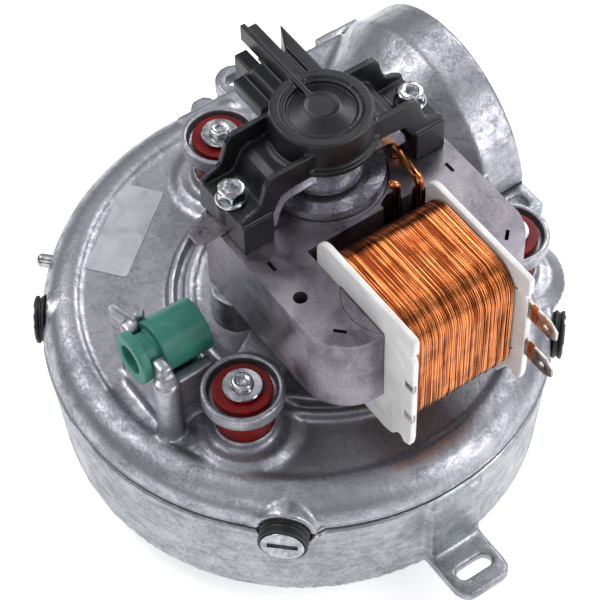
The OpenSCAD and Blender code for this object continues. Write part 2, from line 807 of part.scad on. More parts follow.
module rotor_cage() {
    color([0.78, 0.79, 0.81])
    union() {
        for (z = [lam_z0 - 3.4, lam_z1 - 0.4]) translate([0, 0, z]) difference() {
            cylinder(h = 3.8, r = rotor_r - 0.5);
            translate([0, 0, -1]) cylinder(h = 7, r = 12.8);
        }
        // flat web inside the upper end ring
        translate([0, 0, lam_z1 - 0.4]) difference() {
            cylinder(h = 2.9, r = 13.4);
            translate([0, 0, -1]) cylinder(h = 7, r = 7.5);
        }
        for (k = [0 : 15]) rotate([0, 0, k * 22.5])
            translate([14.4, 0, lam_z0]) cylinder(h = stack_h, r = 1.5);
    }
}

module thrust_washers() {
    color([0.30, 0.30, 0.32])
    for (z = [60.2, 94.8]) translate([0, 0, z]) difference() {
        cylinder(h = 1, r = 5.4);
        translate([0, 0, -1]) cylinder(h = 4, r = shaft_r);
    }
}

module tacho_magnet() {
    color([0.16, 0.16, 0.18])
    translate([0, 0, 106.4]) difference() {
        cylinder(h = 4, r = 6);
        translate([0, 0, -1]) cylinder(h = 8, r = shaft_r);
    }
}

module impeller_plate() {
    color([0.70, 0.71, 0.73])
    translate([0, 0, blade_z1]) difference() {
        cylinder(h = 1, r = impeller_r);
        translate([0, 0, -1]) cylinder(h = 3, r = 6);
    }
}

module impeller_blades() {
    color([0.68, 0.69, 0.71])
    for (k = [0 : blades - 1]) rotate([0, 0, k * 360 / blades])
        translate([0, 0, blade_z0]) intersection() {
            translate([blade_in_r + 4, -16.5, 0]) difference() {
                cylinder(h = blade_z1 - blade_z0, r = 17);
                translate([0, 0, -1]) cylinder(h = 40, r = 16.2);
            }
            difference() {
                cylinder(h = blade_z1 - blade_z0, r = impeller_r - 0.5);
                translate([0, 0, -1]) cylinder(h = 40, r = blade_in_r);
            }
            translate([blade_in_r, -8, 0]) cube([30, 20, 30]);
        }
}

module impeller_ring() {
    color([0.70, 0.71, 0.73])
    translate([0, 0, blade_z0 - 1]) difference() {
        cylinder(h = 1, r = impeller_r);
        translate([0, 0, -1]) cylinder(h = 3, r = blade_in_r - 1);
    }
}

module impeller_hub() {
    color([0.76, 0.66, 0.40])
    difference() {
        union() {
            translate([0, 0, 19]) cylinder(h = 14, r = 5.95);
            translate([0, 0, 25]) cylinder(h = 3.9, r = 10);
        }
        translate([0, 0, 10]) cylinder(h = 30, r = shaft_r);
    }
}

module impeller_nut() {
    color([0.80, 0.81, 0.83])
    translate([0, 0, 14.6]) difference() {
        cylinder(h = 4.2, r = 5.2, $fn = 6);
        translate([0, 0, -1]) cylinder(h = 10, r = shaft_r);
    }
}

// ---------- selection ----------

upper_casing();
lower_casing();
casing_seal();
clamp_rubbers();
clamp_heads();
rim_stud();
pressure_tap();
plate_label();
shaft_seal();
motor_bracket();
mount_rubbers();
mount_sleeves();
mount_screws();
lower_bearing();
bearing_clip();
stator_laminations();
coil_core();
coil_bobbin();
coil_winding();
coil_terminals();
coil_leads();
shading_rings();
earth_tab();
bearing_bridge();
upper_bearing();
sensor_cover();
sensor_board();
sensor_chip();
connector_pins();
motor_screws();
shaft();
rotor_core();
rotor_cage();
thrust_washers();
tacho_magnet();
impeller_plate();
impeller_blades();
impeller_ring();
impeller_hub();
impeller_nut();
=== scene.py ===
"""Looks of the combustion fan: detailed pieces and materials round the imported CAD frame."""
import json
import math
import random

import bmesh
import bpy
from mathutils import Matrix, Vector


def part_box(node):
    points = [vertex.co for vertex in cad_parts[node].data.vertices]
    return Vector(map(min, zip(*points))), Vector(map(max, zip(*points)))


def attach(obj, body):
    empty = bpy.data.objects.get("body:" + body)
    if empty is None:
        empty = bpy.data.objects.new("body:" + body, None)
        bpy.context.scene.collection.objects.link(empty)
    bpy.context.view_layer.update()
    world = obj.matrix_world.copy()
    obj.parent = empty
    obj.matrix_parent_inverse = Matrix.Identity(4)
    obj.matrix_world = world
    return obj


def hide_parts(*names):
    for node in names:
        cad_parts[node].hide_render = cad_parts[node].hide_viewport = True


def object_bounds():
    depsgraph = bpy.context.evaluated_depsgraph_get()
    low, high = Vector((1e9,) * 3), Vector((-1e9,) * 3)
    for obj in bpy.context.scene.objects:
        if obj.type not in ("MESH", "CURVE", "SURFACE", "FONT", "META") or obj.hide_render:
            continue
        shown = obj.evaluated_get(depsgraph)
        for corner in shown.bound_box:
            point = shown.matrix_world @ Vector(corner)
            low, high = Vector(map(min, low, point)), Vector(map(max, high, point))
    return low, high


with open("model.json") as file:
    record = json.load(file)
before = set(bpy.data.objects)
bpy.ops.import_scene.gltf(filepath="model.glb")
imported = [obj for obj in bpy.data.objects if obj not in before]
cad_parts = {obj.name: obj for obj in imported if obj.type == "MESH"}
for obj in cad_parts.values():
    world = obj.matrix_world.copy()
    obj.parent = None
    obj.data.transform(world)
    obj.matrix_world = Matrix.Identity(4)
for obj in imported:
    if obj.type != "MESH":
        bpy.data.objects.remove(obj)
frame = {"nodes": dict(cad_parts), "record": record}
cad_lo, cad_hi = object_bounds()
CAD = frame["nodes"]
MM = 0.001
TAU = 2 * math.pi
HOUSING = "housing"


# ---------- materials ----------

class Shader:
    """A Principled material with short calls for its procedural nodes."""

    def __init__(self, name, **values):
        self.mat = bpy.data.materials.new(name)
        self.mat.use_nodes = True
        self.tree = self.mat.node_tree
        self.bsdf = self.tree.nodes["Principled BSDF"]
        self.coord = self.tree.nodes.new("ShaderNodeTexCoord").outputs["Object"]
        for key, value in values.items():
            self.bsdf.inputs[key.replace("_", " ")].default_value = value

    def put(self, socket, value):
        if isinstance(value, bpy.types.NodeSocket):
            self.tree.links.new(value, socket)
        else:
            socket.default_value = value

    def scaled(self, scale):
        node = self.tree.nodes.new("ShaderNodeMapping")
        self.put(node.inputs["Vector"], self.coord)
        node.inputs["Scale"].default_value = scale
        return node.outputs["Vector"]

    def noise(self, scale, detail=3, distortion=0.0, stretch=(1, 1, 1)):
        node = self.tree.nodes.new("ShaderNodeTexNoise")
        self.put(node.inputs["Vector"], self.scaled(stretch))
        node.inputs["Scale"].default_value = scale
        node.inputs["Detail"].default_value = detail
        node.inputs["Distortion"].default_value = distortion
        return node.outputs["Fac"]

    def cells(self, scale, output="Color"):
        node = self.tree.nodes.new("ShaderNodeTexVoronoi")
        self.put(node.inputs["Vector"], self.coord)
        node.inputs["Scale"].default_value = scale
        return node.outputs[output]

    def math(self, kind, a, b=0.0):
        node = self.tree.nodes.new("ShaderNodeMath")
        node.operation = kind
        self.put(node.inputs[0], a)
        self.put(node.inputs[1], b)
        return node.outputs[0]

    def remap(self, value, low, high, to_low, to_high):
        node = self.tree.nodes.new("ShaderNodeMapRange")
        for key, v in zip(("Value", "From Min", "From Max", "To Min", "To Max"),
                          (value, low, high, to_low, to_high)):
            self.put(node.inputs[key], v)
        return node.outputs["Result"]

    def ramp(self, fac, stops):
        node = self.tree.nodes.new("ShaderNodeValToRGB")
        band = node.color_ramp
        while len(band.elements) < len(stops):
            band.elements.new(0.5)
        for element, (place, colour) in zip(band.elements, stops):
            element.position = place
            element.color = (*colour, 1)
        self.put(node.inputs["Fac"], fac)
        return node.outputs["Color"]

    def mix(self, fac, a, b, kind="MIX"):
        node = self.tree.nodes.new("ShaderNodeMix")
        node.data_type = "RGBA"
        node.blend_type = kind
        self.put(node.inputs[0], fac)
        self.put(node.inputs[6], a if isinstance(a, bpy.types.NodeSocket) else (*a, 1))
        self.put(node.inputs[7], b if isinstance(b, bpy.types.NodeSocket) else (*b, 1))
        return node.outputs[2]

    def bump(self, height, distance, strength=1.0, normal=None):
        node = self.tree.nodes.new("ShaderNodeBump")
        node.inputs["Distance"].default_value = distance
        node.inputs["Strength"].default_value = strength
        self.put(node.inputs["Height"], height)
        if normal:
            self.put(node.inputs["Normal"], normal)
        return node.outputs["Normal"]

    def axis(self, letter):
        node = self.tree.nodes.new("ShaderNodeSeparateXYZ")
        self.put(node.inputs[0], self.coord)
        return node.outputs[letter]

    def done(self, colour=None, rough=None, normal=None, metal=None):
        for key, value in (("Base Color", colour), ("Roughness", rough),
                           ("Normal", normal), ("Metallic", metal)):
            if value is not None:
                self.put(self.bsdf.inputs[key], value)
        return self.mat


def cast_metal(name, dark, light, metallic=0.85, rough=(0.30, 0.50), spread=0.10):
    """Die-cast aluminium: soft clouds, faint flow marks, fine grain, and rare pits and fold wrinkles
    darkened as painted shade.
    """
    s = Shader(name, Metallic=metallic)
    cloud = s.noise(55, 4, 0.5)
    blotch = s.noise(260, 6, 0.8)
    flow = s.noise(150, 5, 0.6, (0.6, 0.6, 3.0))
    fine = s.noise(1300, 4, 0.2)
    tone = s.math("ADD", s.math("MULTIPLY", cloud, 0.28), s.math("MULTIPLY", blotch, 0.28))
    tone = s.math("ADD", tone, s.math("MULTIPLY", flow, 0.20))
    tone = s.math("ADD", tone, s.math("MULTIPLY", fine, 0.24))
    mid = tuple((a + b) / 2 for a, b in zip(dark, light))
    colour = s.ramp(tone, [(0.50 - spread, dark), (0.50, mid), (0.50 + spread, light)])
    # rare pits are only small dark specks: painted shade for their hollows
    speck = s.remap(s.cells(520, "Distance"), 0.03, 0.10, 1.0, 0.0)
    rare = s.remap(s.noise(150, 2), 0.62, 0.70, 0.0, 1.0)
    colour = s.mix(s.math("MULTIPLY", speck, rare), colour, tuple(c * 0.45 for c in dark))
    # thin wrinkles where the metal folded as it ran in, bumped in as grooves and darkened as painted
    # shade in them
    ridge = s.math("ABSOLUTE", s.math("SUBTRACT", s.noise(95, 5, 2.2, (0.7, 0.7, 1.8)), 0.5))
    crease = s.math("MULTIPLY", s.remap(ridge, 0.0, 0.012, 0.55, 0.0),
                    s.remap(s.noise(38, 3), 0.50, 0.60, 0.0, 1.0))
    colour = s.mix(crease, colour, tuple(c * 0.55 for c in dark))
    roughness = s.remap(tone, 0.42, 0.58, rough[1], rough[0])
    normal = s.bump(fine, 0.00010, 0.55)
    normal = s.bump(blotch, 0.00035, 0.35, normal)
    normal = s.bump(cloud, 0.0008, 0.20, normal)
    normal = s.bump(crease, 0.00012, -0.5, normal)
    return s.done(colour, roughness, normal)


def turned_metal(name, dark, light, rings=2200, rough=(0.2, 0.38), metallic=1.0):
    """Machined metal with fine rings round the shaft axis."""
    s = Shader(name, Metallic=metallic)
    x, y = s.axis("X"), s.axis("Y")
    radius = s.math("SQRT", s.math("ADD", s.math("MULTIPLY", x, x), s.math("MULTIPLY", y, y)))
    ring = s.math("SINE", s.math("MULTIPLY", radius, rings * 4))
    smear = s.noise(240, 4, 1.0)
    colour = s.ramp(smear, [(0.35, dark), (0.62, light)])
    normal = s.bump(ring, 0.00004, 0.6)
    normal = s.bump(s.noise(600, 3), 0.0001, 0.4, normal)
    return s.done(colour, s.remap(smear, 0.35, 0.65, rough[0], rough[1]), normal)


def plated_steel(name, dark, light, rough=(0.14, 0.30), scratches=0.5):
    """Zinc or chrome plated steel with faint scratches."""
    s = Shader(name, Metallic=1.0)
    cloud = s.noise(380, 4, 0.6)
    lines = s.noise(900, 2, 0.3, (1, 1, 0.08))
    colour = s.ramp(cloud, [(0.36, dark), (0.64, light)])
    normal = s.bump(lines, 0.00003, scratches)
    normal = s.bump(cloud, 0.00008, 0.4, normal)
    return s.done(colour, s.remap(cloud, 0.35, 0.65, rough[0], rough[1]), normal)


def sheet_steel(name, dark, light, sheet=0.0005, rough=(0.30, 0.46)):
    """Punched electrical steel: each sheet of the stack has its own tone."""
    s = Shader(name, Metallic=0.92)
    level = s.math("FLOOR", s.math("DIVIDE", s.axis("Z"), sheet))
    combine = s.tree.nodes.new("ShaderNodeTexWhiteNoise")
    combine.noise_dimensions = "1D"
    s.put(combine.inputs["W"], level)
    each = combine.outputs["Value"]
    smear = s.noise(75, 4, 0.9)
    grain = s.noise(1500, 3, 0.0, (1, 1, 0.35))
    tone = s.math("ADD", s.math("MULTIPLY", smear, 0.80), s.math("MULTIPLY", each, 0.035))
    tone = s.math("ADD", tone, s.math("MULTIPLY", grain, 0.20))
    colour = s.ramp(tone, [(0.38, dark), (0.68, light)])
    normal = s.bump(grain, 0.00004, 0.5)
    normal = s.bump(s.noise(220, 4, 1.4), 0.0002, 0.25, normal)
    return s.done(colour, s.remap(smear, 0.35, 0.65, rough[0], rough[1]), normal)


def moulded(name, dark, light, rough=(0.34, 0.5), grain=0.00004, sub=0.0, **extra):
    """Moulded plastic or rubber with a fine skin."""
    s = Shader(name, **extra)
    if sub:
        s.bsdf.inputs["Subsurface Weight"].default_value = sub
        s.bsdf.inputs["Subsurface Radius"].default_value = (0.0012, 0.001, 0.0008)
        s.bsdf.inputs["Subsurface Scale"].default_value = 1.0
    cloud = s.noise(140, 4, 0.8)
    skin = s.noise(3200, 2)
    colour = s.ramp(cloud, [(0.34, dark), (0.66, light)])
    normal = s.bump(skin, grain, 0.6)
    normal = s.bump(s.noise(420, 3), 0.00012, 0.25, normal)
    return s.done(colour, s.remap(cloud, 0.35, 0.65, rough[0], rough[1]), normal)


def copper(name, dark, light, across=1300):
    """Enamelled copper wire: turns differ a little in tone across the coil."""
    s = Shader(name, Metallic=1.0)
    turns = s.noise(across, 1, 0.0, (0.03, 1, 0.03))
    cloud = s.noise(190, 3, 0.5)
    tone = s.math("ADD", s.math("MULTIPLY", turns, 0.7), s.math("MULTIPLY", cloud, 0.3))
    colour = s.ramp(tone, [(0.41, dark), (0.58, light)])
    normal = s.bump(s.noise(1500, 2), 0.00003, 0.2)
    return s.done(colour, s.remap(cloud, 0.35, 0.65, 0.15, 0.26), normal)


def galvanised(name):
    """Galvanised sheet with a small spangle."""
    s = Shader(name, Metallic=0.95)
    flake = s.cells(420, "Color")
    grey = s.tree.nodes.new("ShaderNodeRGBToBW")
    s.put(grey.inputs[0], flake)
    colour = s.ramp(grey.outputs[0], [(0.1, (0.46, 0.47, 0.49)), (0.9, (0.68, 0.69, 0.71))])
    return s.done(colour, s.remap(grey.outputs[0], 0, 1, 0.28, 0.5),
                  s.bump(s.noise(800, 3), 0.00006, 0.4))


MATS = {
    "cast_upper": cast_metal("cast_upper", (0.205, 0.208, 0.236), (0.46, 0.465, 0.51), spread=0.11),
    "cast_lower": cast_metal("cast_lower", (0.22, 0.232, 0.252), (0.455, 0.475, 0.505), spread=0.105),
    "cast_bracket": cast_metal("cast_bracket", (0.20, 0.20, 0.23), (0.44, 0.44, 0.48)),
    "cast_bridge": cast_metal("cast_bridge", (0.36, 0.355, 0.40), (0.60, 0.59, 0.65),
                              0.95, (0.18, 0.32)),
    "black_rubber": moulded("black_rubber", (0.005, 0.005, 0.006), (0.012, 0.012, 0.014), (0.40, 0.58)),
    "bright_steel": plated_steel("bright_steel", (0.24, 0.245, 0.26), (0.52, 0.53, 0.56), (0.12, 0.24)),
    "green_silicone": moulded("green_silicone", (0.020, 0.155, 0.112), (0.036, 0.225, 0.170),
                              (0.34, 0.46), sub=0.08),
    "red_silicone": moulded("red_silicone", (0.11, 0.001, 0.001), (0.20, 0.003, 0.003),
                            (0.30, 0.42), sub=0.03, Specular_IOR_Level=0.25),
    "label_foil": moulded("label_foil", (0.40, 0.41, 0.45), (0.52, 0.53, 0.57),
                          (0.38, 0.46), Metallic=0.25),
    "zinc_steel": plated_steel("zinc_steel", (0.36, 0.37, 0.40), (0.70, 0.71, 0.75)),
    "sinter_bronze": moulded("sinter_bronze", (0.26, 0.16, 0.07), (0.42, 0.28, 0.13),
                             (0.45, 0.6), 0.0001, Metallic=0.85),
    "sheet_steel": sheet_steel("sheet_steel", (0.14, 0.125, 0.148), (0.36, 0.335, 0.372)),
    "nylon_white": moulded("nylon_white", (0.68, 0.675, 0.67), (0.82, 0.815, 0.81),
                           (0.36, 0.5), sub=0.12),
    "copper": copper("copper", (0.24, 0.055, 0.014), (0.80, 0.30, 0.105)),
    # a darkened copper for the layers under the turns: painted shade in the gaps between them
    "copper_painted_shade": copper("copper_painted_shade", (0.05, 0.010, 0.003), (0.14, 0.035, 0.010)),
    "tin_brass": plated_steel("tin_brass", (0.34, 0.31, 0.285), (0.64, 0.585, 0.545), (0.24, 0.4)),
    "black_plastic": moulded("black_plastic", (0.0034, 0.0037, 0.0052), (0.0078, 0.0084, 0.0118),
                             (0.32, 0.46)),
    "board": moulded("board", (0.03, 0.12, 0.06), (0.05, 0.18, 0.09), (0.3, 0.45)),
    "shaft_steel": plated_steel("shaft_steel", (0.40, 0.41, 0.43), (0.66, 0.67, 0.70), (0.12, 0.24)),
    "cage_alu": cast_metal("cage_alu", (0.26, 0.26, 0.29), (0.68, 0.68, 0.73), 0.95, (0.16, 0.34)),
    "fibre": moulded("fibre", (0.05, 0.05, 0.055), (0.09, 0.09, 0.10), (0.5, 0.65)),
    "magnet": moulded("magnet", (0.03, 0.03, 0.035), (0.055, 0.055, 0.06), (0.4, 0.55)),
    "galvanised": galvanised("galvanised"),
    "hub_brass": turned_metal("hub_brass", (0.50, 0.38, 0.16), (0.76, 0.60, 0.30)),
}
SLOT = {s["node"]: s["material_slot"] for s in frame["record"]["subparts"]}


# ---------- mesh helpers ----------

def dress(obj, node):
    """Gives a piece the material and slot of its node; all pieces here ride on the housing."""
    slot = SLOT[node]
    obj.data.materials.clear()
    obj.data.materials.append(MATS[slot])
    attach(obj, HOUSING)
    return obj


def link(name, mesh, smooth=True):
    obj = bpy.data.objects.new(name, mesh)
    bpy.context.scene.collection.objects.link(obj)
    if smooth:
        for p in mesh.polygons:
            p.use_smooth = True
    return obj


def from_data(name, verts, faces, smooth=True):
    mesh = bpy.data.meshes.new(name)
    mesh.from_pydata([tuple(v) for v in verts], [], faces)
    mesh.validate()
    mesh.update()
    return link(name, mesh, smooth)


def baked(obj):
    """Applies the modifiers of obj."""
    graph = bpy.context.evaluated_depsgraph_get()
    mesh = bpy.data.meshes.new_from_object(obj.evaluated_get(graph))
    obj.modifiers.clear()
    old = obj.data
    obj.data = mesh
    bpy.data.meshes.remove(old)
    return obj


def soft_copy(node, voxel, smooth, keep=None):
    """A copy of a CAD node with soft, moulded edges; it stands for the node."""
    mesh = CAD[node].data.copy()
    bm = bmesh.new()
    bm.from_mesh(mesh)
    bmesh.ops.remove_doubles(bm, verts=bm.verts, dist=1e-6)
    bm.to_mesh(mesh)
    bm.free()
    mesh.materials.clear()
    obj = link(node + "_soft", mesh)
    remesh = obj.modifiers.new("remesh", "REMESH")
    remesh.mode = "VOXEL"
    remesh.voxel_size = voxel * MM
    remesh.use_smooth_shade = True
    relax = obj.modifiers.new("relax", "SMOOTH")
    relax.factor = 0.5
    relax.iterations = smooth
    if keep:
        thin = obj.modifiers.new("thin", "DECIMATE")
        thin.ratio = keep
    baked(obj)
    for p in obj.data.polygons:
        p.use_smooth = True
    dress(obj, node)
    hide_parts(node)
    return obj


def rounded(points, radius, steps=4, closed=True):
    """Rounds the corners of a profile; radius is one number or one per corner."""
    out = []
    count = len(points)
    for i, p in enumerate(points):
        r = radius[i] if isinstance(radius, (list, tuple)) else radius
        if not closed and i in (0, count - 1) or r <= 0:
            out.append(tuple(p))
            continue
        p, a, b = Vector(p), Vector(points[i - 1]), Vector(points[(i + 1) % count])
        u, v = (a - p), (b - p)
        room = min(u.length, v.length) * 0.49
        u.normalize()
        v.normalize()
        half = math.acos(max(-1, min(1, u.dot(v)))) / 2
        if half > 1.55 or half < 0.05:
            out.append(tuple(p))
            continue
        cut = min(r / math.tan(half), room)
        start, end = p + u * cut, p + v * cut
        for k in range(steps + 1):
            t = k / steps
            out.append(tuple(start * (1 - t) ** 2 + p * 2 * t * (1 - t) + end * t * t))
    return out


def revolve(name, profile, place=None, turns=64, closed=True):
    """A body of revolution from (radius, height) points in millimetres."""
    verts, faces = [], []
    n = len(profile)
    for k in range(turns):
        a = TAU * k / turns
        for r, z in profile:
            verts.append(Vector((r * math.cos(a), r * math.sin(a), z)) * MM)
    last = n if closed else n - 1
    for k in range(turns):
        a, b = k * n, ((k + 1) % turns) * n
        for i in range(last):
            j = (i + 1) % n
            faces.append((a + i, b + i, b + j, a + j))
    obj = from_data(name, verts, faces)
    bm = bmesh.new()
    bm.from_mesh(obj.data)
    bmesh.ops.remove_doubles(bm, verts=bm.verts, dist=1e-7)
    bmesh.ops.recalc_face_normals(bm, faces=bm.faces)
    bm.to_mesh(obj.data)
    bm.free()
    for p in obj.data.polygons:
        p.use_smooth = True
    if place is not None:
        obj.data.transform(place)
    return obj


def joined(objects, name):
    """Joins several mesh objects into one."""
    bm = bmesh.new()
    for o in objects:
        bm.from_mesh(o.data)
    mesh = bpy.data.meshes.new(name)
    bm.to_mesh(mesh)
    bm.free()
    for o in objects:
        bpy.data.objects.remove(o)
    return link(name, mesh)


def tube(name, points, radius, sides=8, closed=False):
    """A round wire along points in millimetres."""
    pts = [Vector(p) for p in points]
    n = len(pts)
    verts, faces = [], []
    up = None
    for i, p in enumerate(pts):
        a = pts[(i - 1) % n] if closed or i else pts[0]
        b = pts[(i + 1) % n] if closed or i < n - 1 else pts[-1]
        along = (b - a).normalized()
        if up is None:
            up = along.orthogonal().normalized()
        side = along.cross(up).normalized()
        up = side.cross(along).normalized()
        for k in range(sides):
            t = TAU * k / sides
            verts.append((p + (up * math.cos(t) + side * math.sin(t)) * radius) * MM)
    for i in range(n if closed else n - 1):
        a, b = i * sides, ((i + 1) % n) * sides
        for k in range(sides):
            m = (k + 1) % sides
            faces.append((a + k, a + m, b + m, b + k))
    if not closed:
        faces.append(tuple(range(sides))[::-1])
        faces.append(tuple((n - 1) * sides + k for k in range(sides)))
    return from_data(name, verts, faces)


def bent_path(corners, radius, steps=6, closed=False):
    """Round bends along a path of straight runs."""
    pts = rounded([Vector(c) for c in corners], radius, steps, closed)
    return [Vector(p) for p in pts]


def mm_box(node):
    """Low and high corner of a CAD node, in millimetres."""
    lo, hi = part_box(node)
    return lo / MM, hi / MM


# ---------- castings and mouldings ----------

# node, voxel size in millimetres, smoothing passes, share of faces kept
for row in (("upper_casing", 0.75, 3, 0.55), ("lower_casing", 0.85, 3, 0.55),
            ("motor_bracket", 0.45, 3), ("bearing_bridge", 0.35, 2), ("sensor_cover", 0.32, 2),
            ("coil_bobbin", 0.30, 3), ("mount_rubbers", 0.30, 3), ("pressure_tap", 0.30, 4),
            ("clamp_rubbers", 0.26, 2), ("rim_stud", 0.2, 2)):
    soft_copy(*row)


def crisp(node, width):
    """Small bevels on a CAD node, so that its slots stay sharp."""
    weld = CAD[node].modifiers.new("weld", "WELD")
    weld.merge_threshold = 1e-6
    bevel = CAD[node].modifiers.new("bevel", "BEVEL")
    bevel.width = width * MM
    bevel.segments = 2
    bevel.limit_method = "ANGLE"
    bevel.angle_limit = math.radians(40)


crisp("clamp_heads", 0.3)


def wall_outline(node, z, start=58, stop=-218, step=0.6):
    """Outermost points of the node's wall at height z, by angle round the shaft."""
    bm = bmesh.new()
    bm.from_mesh(CAD[node].data)
    geom = bm.verts[:] + bm.edges[:] + bm.faces[:]
    cut = bmesh.ops.bisect_plane(bm, geom=geom, plane_co=(0, 0, z * MM), plane_no=(0, 0, 1))
    edges = [g for g in cut["geom_cut"] if isinstance(g, bmesh.types.BMEdge)]
    parts = [(e.verts[0].co.copy() / MM, e.verts[1].co.copy() / MM) for e in edges]
    bm.free()
    reach = []
    count = int((start - stop) / step)
    for k in range(count + 1):
        a = math.radians(start - step * k)
        dx, dy = math.cos(a), math.sin(a)
        best = 0
        for p, q in parts:
            side_p, side_q = dx * p.y - dy * p.x, dx * q.y - dy * q.x
            if (side_p > 0) != (side_q > 0):
                t = side_p / (side_p - side_q)
                m = p.lerp(q, t)
                best = max(best, m.x * dx + m.y * dy)
        reach.append((dx, dy, best))
    smooth = []
    for k, (dx, dy, _) in enumerate(reach):
        near = [reach[m][2] for m in range(max(0, k - 2), min(count, k + 2) + 1)]
        smooth.append((dx, dy, sum(near) / len(near)))
    return smooth


def seam():
    """The rolled lip of the lower casing, the seal above it and the upper casing's clean edge."""
    top = mm_box("casing_seal")[0].z
    lo, hi = cad_lo / MM, cad_hi / MM
    # name, node, height of the cut that gives the path, height and radius of the tube,
    # and how far its centre lies inside the wall
    for name, node, cut, z, r, inset in (
            ("lip_bead", "lower_casing", top - 1.1, top - 1.15, 1.1, 0.70),
            ("seal_line", "casing_seal", top + 0.6, top + 0.62, 0.72, -0.14),
            ("upper_edge", "upper_casing", top + 1.7, top + 1.75, 0.5, 0.42)):
        path = [(max(lo.x + r, min(hi.x - r, dx * (d - inset))),
                 max(lo.y + r, min(hi.y - r, dy * (d - inset))), z)
                for dx, dy, d in wall_outline(node, cut) if d > 50]
        bead = tube(name, path, r, 12)
        dress(bead, node)


seam()


# ---------- coil winding ----------

def loop_point(t, x0, x1, z0, z1, r):
    """A point at share t of the way round a rounded rectangle in X and Z."""
    w, h = x1 - x0 - 2 * r, z1 - z0 - 2 * r
    arc = math.pi * r / 2
    total = 2 * w + 2 * h + 4 * arc
    d = (t % 1) * total
    runs = [("s", x0 + r, z1, 1, 0, w), ("a", x1 - r, z1 - r, 90, 0, arc),
            ("s", x1, z1 - r, 0, -1, h), ("a", x1 - r, z0 + r, 0, 0, arc),
            ("s", x1 - r, z0, -1, 0, w), ("a", x0 + r, z0 + r, -90, 0, arc),
            ("s", x0, z0 + r, 0, 1, h), ("a", x0 + r, z1 - r, -180, 0, arc)]
    for kind, a, b, c, e, length in runs:
        if d <= length:
            if kind == "s":
                return a + c * d, b + e * d
            angle = math.radians(c - 90 * d / length)
            return a + r * math.cos(angle), b + r * math.sin(angle)
        d -= length
    return x0 + r, z1


def winding():
    """Side by side turns, a few that have slipped, and the layers under them, whose copper is darkened
    as painted shade between the turns.
    """
    lo, hi = mm_box("coil_winding")
    rng = random.Random(7)
    wire, count, slipped = 0.285, 52, 9
    corner = 9
    steps = 92
    pieces = []
    y0, y1 = lo.y + wire, hi.y - wire
    pitch = (y1 - y0) / count

    def turn(y_at, inset_at):
        pts = []
        for i in range(steps):
            t = i / steps
            inset = max(wire + 0.01, inset_at(t))
            x, z = loop_point(t, lo.x + inset, hi.x - inset, lo.z + inset, hi.z - inset, corner - inset)
            pts.append((x, max(y0, min(y1, y_at(t))), z))
        pieces.append(tube("turn", pts, wire, 7, True))

    for k in range(count):
        base = y0 + pitch * (k + 0.5) + rng.uniform(-0.07, 0.07)
        phase, size, waves = rng.uniform(0, TAU), rng.uniform(0.02, 0.11), rng.choice((1, 2, 2, 3))
        sink = rng.uniform(0.42, 0.66)
        turn(lambda t: base + size * math.sin(TAU * t * waves + phase),
             lambda t: sink + 0.05 * math.sin(TAU * t * 2 + phase))
    for k in range(slipped):
        base, lean = rng.uniform(y0 + 1, y1 - 1), rng.uniform(-0.8, 0.8)
        phase = rng.uniform(0, TAU)
        turn(lambda t: base + lean * math.sin(TAU * t + phase),
             lambda t: 0.34 + 0.07 * math.sin(TAU * t * 3 + phase))
    obj = joined(pieces, "coil_turns")
    # the layers underneath, seen only between the turns; their copper is painted dark as painted shade
    # in the gaps
    n = 64
    ring = [loop_point(i / n, lo.x + 1.2, hi.x - 1.2, lo.z + 1.2, hi.z - 1.2, 7.8) for i in range(n)]
    inner = [loop_point(i / n, lo.x + 6.6, hi.x - 7.9, lo.z + 6.7, hi.z - 6.9, 1.2) for i in range(n)]
    verts, faces = [], []
    for y in (lo.y, hi.y):
        for x, z in ring + inner:
            verts.append(Vector((x, y, z)) * MM)
    for i in range(n):
        j = (i + 1) % n
        faces += [(i, j, 2 * n + j, 2 * n + i), (n + j, n + i, 3 * n + i, 3 * n + j),
                  (j, i, n + i, n + j), (2 * n + i, 2 * n + j, 3 * n + j, 3 * n + i)]
    core = from_data("coil_layers", verts, faces, False)
    dress(core, "coil_winding")
    # the under layers take the darkened copper, painted shade between the turns
    core.data.materials[0] = MATS["copper_painted_shade"]
    dress(obj, "coil_winding")
    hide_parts("coil_winding")
    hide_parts("coil_winding")


winding()


# ---------- stator sheets ----------

